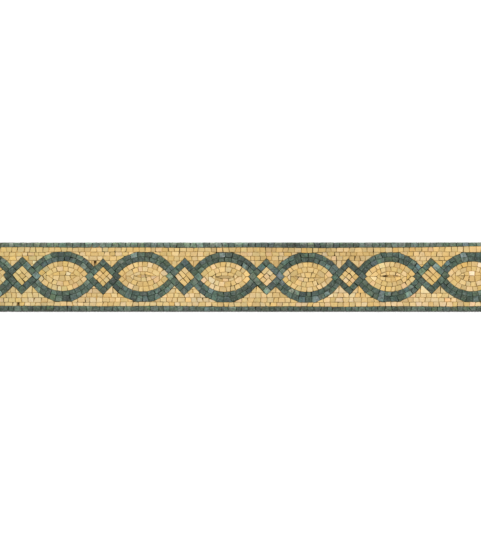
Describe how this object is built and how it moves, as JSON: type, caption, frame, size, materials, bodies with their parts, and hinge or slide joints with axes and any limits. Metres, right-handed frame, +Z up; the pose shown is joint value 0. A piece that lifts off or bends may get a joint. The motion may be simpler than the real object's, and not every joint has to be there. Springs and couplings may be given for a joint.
{
  "type": "mosaic border",
  "caption": "Mesh-backed natural stone mosaic border strip with a chain of pointed lenses and diamonds in cream stone outlined in green-grey stone",
  "frame": {"origin": "middle of the underside of the mesh backing", "axes": "+X along the strip, +Y across it towards the upper edge course, +Z up out of the stone face"},
  "size_m": [1, 0.1216, 0.009],
  "materials": {
    "cream_stone": "matt, sawn and tumbled",
    "green_stone": "matt, sawn and tumbled",
    "mesh": "resin-coated glass mesh set in grey dried adhesive"
  },
  "bodies": {
    "root": {"diamond_fill_1": "cream_stone", "diamond_fill_2": "cream_stone", "diamond_fill_3": "cream_stone", "diamond_fill_4": "cream_stone", "diamond_fill_5": "cream_stone", "diamond_fill_6": "cream_stone", "diamond_fill_7": "cream_stone", "diamond_frame_1": "green_stone", "diamond_frame_2": "green_stone", "diamond_frame_3": "green_stone", "diamond_frame_4": "green_stone", "diamond_frame_5": "green_stone", "diamond_frame_6": "green_stone", "diamond_frame_7": "green_stone", "lens_fill_1": "cream_stone", "lens_fill_2": "cream_stone", "lens_fill_3": "cream_stone", "lens_fill_4": "cream_stone", "lens_fill_5": "cream_stone", "lens_fill_6": "cream_stone", "lens_fill_7": "cream_stone", "lens_fill_8": "cream_stone", "lens_frame_lower_1": "green_stone", "lens_frame_lower_2": "green_stone", "lens_frame_lower_3": "green_stone", "lens_frame_lower_4": "green_stone", "lens_frame_lower_5": "green_stone", "lens_frame_lower_6": "green_stone", "lens_frame_lower_7": "green_stone", "lens_frame_lower_8": "green_stone", "lens_frame_upper_1": "green_stone", "lens_frame_upper_2": "green_stone", "lens_frame_upper_3": "green_stone", "lens_frame_upper_4": "green_stone", "lens_frame_upper_5": "green_stone", "lens_frame_upper_6": "green_stone", "lens_frame_upper_7": "green_stone", "lens_frame_upper_8": "green_stone", "lower_edge_course": "green_stone", "lower_ground_1": "cream_stone", "lower_ground_2": "cream_stone", "lower_ground_3": "cream_stone", "lower_ground_4": "cream_stone", "lower_ground_5": "cream_stone", "lower_ground_6": "cream_stone", "lower_ground_7": "cream_stone", "mesh_backing": "mesh", "upper_edge_course": "green_stone", "upper_ground_1": "cream_stone", "upper_ground_2": "cream_stone", "upper_ground_3": "cream_stone", "upper_ground_4": "cream_stone", "upper_ground_5": "cream_stone", "upper_ground_6": "cream_stone", "upper_ground_7": "cream_stone"}
  },
  "joints": []
}
